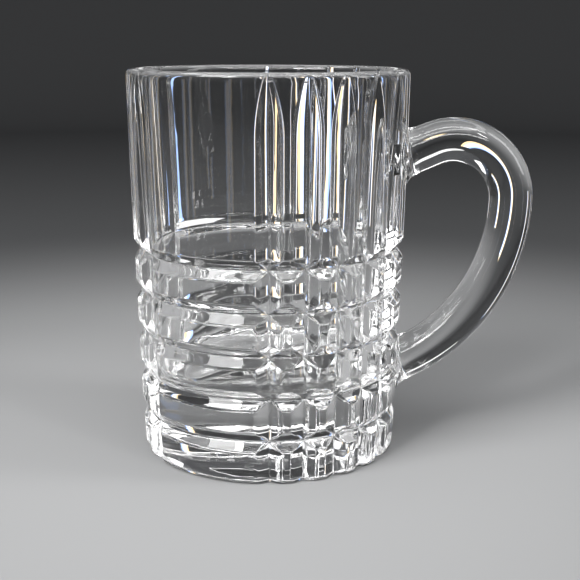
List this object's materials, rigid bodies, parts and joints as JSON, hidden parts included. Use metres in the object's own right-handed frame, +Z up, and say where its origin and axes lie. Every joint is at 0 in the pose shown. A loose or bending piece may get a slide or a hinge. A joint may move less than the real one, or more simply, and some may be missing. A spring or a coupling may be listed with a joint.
{
  "type": "beer mug",
  "caption": "Heavy clear glass beer mug with crossing mitre cuts below, pointed flutes above, plain panels between, and a round D-shaped glass handle.",
  "frame": {"origin": "middle of the flat underside, on the axis of the body", "axes": "+Z up along the axis of the body, +X towards the handle"},
  "size_m": [0.1377, 0.0944, 0.13],
  "materials": {
    "body_glass": "polished clear cut glass",
    "handle_glass": "fire-polished clear glass"
  },
  "bodies": {
    "root": {"mug_body": "body_glass", "handle": "handle_glass"}
  },
  "joints": []
}
